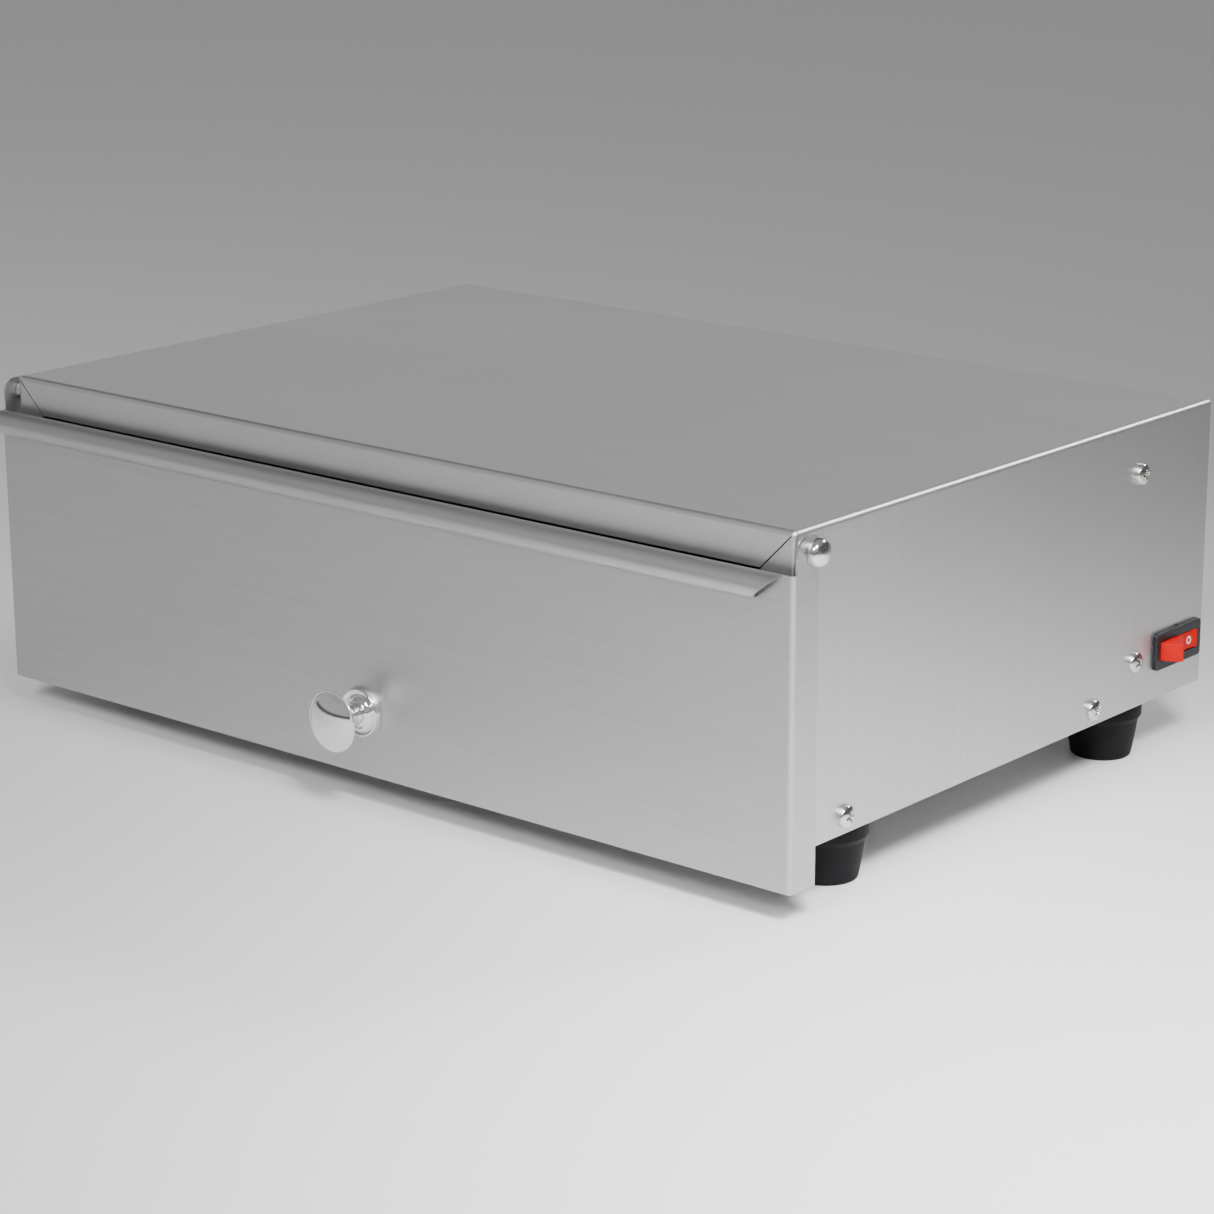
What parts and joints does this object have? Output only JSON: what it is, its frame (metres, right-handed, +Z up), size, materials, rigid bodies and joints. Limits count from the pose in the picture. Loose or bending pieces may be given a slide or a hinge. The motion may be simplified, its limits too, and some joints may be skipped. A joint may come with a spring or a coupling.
{
  "type": "bun warmer cabinet",
  "caption": "Low stainless steel warming cabinet with a flip-up front door on two side pivots, a knob, a rocker switch and rubber feet.",
  "frame": {"origin": "middle of the whole outline, knob and cable gland included, on the plane the feet stand on", "axes": "+X to the right seen from the front, +Y to the back, +Z up"},
  "size_m": [0.4395, 0.3202, 0.147],
  "materials": {
    "stainless": "brushed",
    "plated_steel": "polished",
    "chrome": "polished",
    "element_sheath": "satin, heat tinted",
    "brass": "plain",
    "rubber": "matte",
    "black_plastic": "satin",
    "white_plastic": "satin",
    "red_plastic": "gloss",
    "wire_brown": "satin",
    "wire_blue": "satin",
    "wire_green": "satin"
  },
  "bodies": {
    "cabinet": {"cover_shell": "stainless", "base_pan": "stainless", "divider": "stainless", "rear_panel": "stainless", "deck": "stainless", "heating_element": "element_sheath", "element_bushing_left": "brass", "element_bushing_right": "brass", "element_support_left": "plated_steel", "element_support_right": "plated_steel", "thermostat": "black_plastic", "terminal_block": "white_plastic", "terminal_screws": "brass", "earth_stud": "brass", "earth_nut": "brass", "cable_gland": "black_plastic", "gland_nut": "black_plastic", "foot_screws": "plated_steel", "foot_washers": "plated_steel", "foot_nuts": "plated_steel", "side_screws_right": "plated_steel", "side_screws_left": "plated_steel", "rear_panel_screws": "plated_steel", "pivot_screw_right": "plated_steel", "pivot_screw_left": "plated_steel", "pivot_washer_right": "plated_steel", "pivot_washer_left": "plated_steel", "pivot_spacer_right": "plated_steel", "pivot_spacer_left": "plated_steel", "pivot_nut_right": "plated_steel", "pivot_nut_left": "plated_steel", "switch_housing": "black_plastic", "switch_blades": "brass", "wire_live": "wire_brown", "wire_switched": "wire_brown", "wire_heater_live": "wire_brown", "wire_heater_neutral": "wire_blue", "wire_earth": "wire_green", "foot_front_left": "rubber", "foot_front_right": "rubber", "foot_rear_left": "rubber", "foot_rear_right": "rubber"},
    "door": {"door_panel": "stainless", "door_bumper_right": "rubber", "door_bumper_left": "rubber", "knob_rosette": "chrome", "knob_head": "chrome", "knob_screw": "plated_steel", "knob_washer": "plated_steel"},
    "rocker": {"switch_rocker": "red_plastic"}
  },
  "joints": [
    {"name": "door_hinge", "type": "hinge", "parent": "cabinet", "child": "door", "pos_m": [0, -0.1267, 0.1394], "axis": [-1, 0, 0], "range_deg": [0, 170]},
    {"name": "switch_rocker_hinge", "type": "hinge", "parent": "cabinet", "child": "rocker", "pos_m": [0.2095, 0.1292, 0.0465], "axis": [0, 0, -1], "range_deg": [0, 36]}
  ]
}
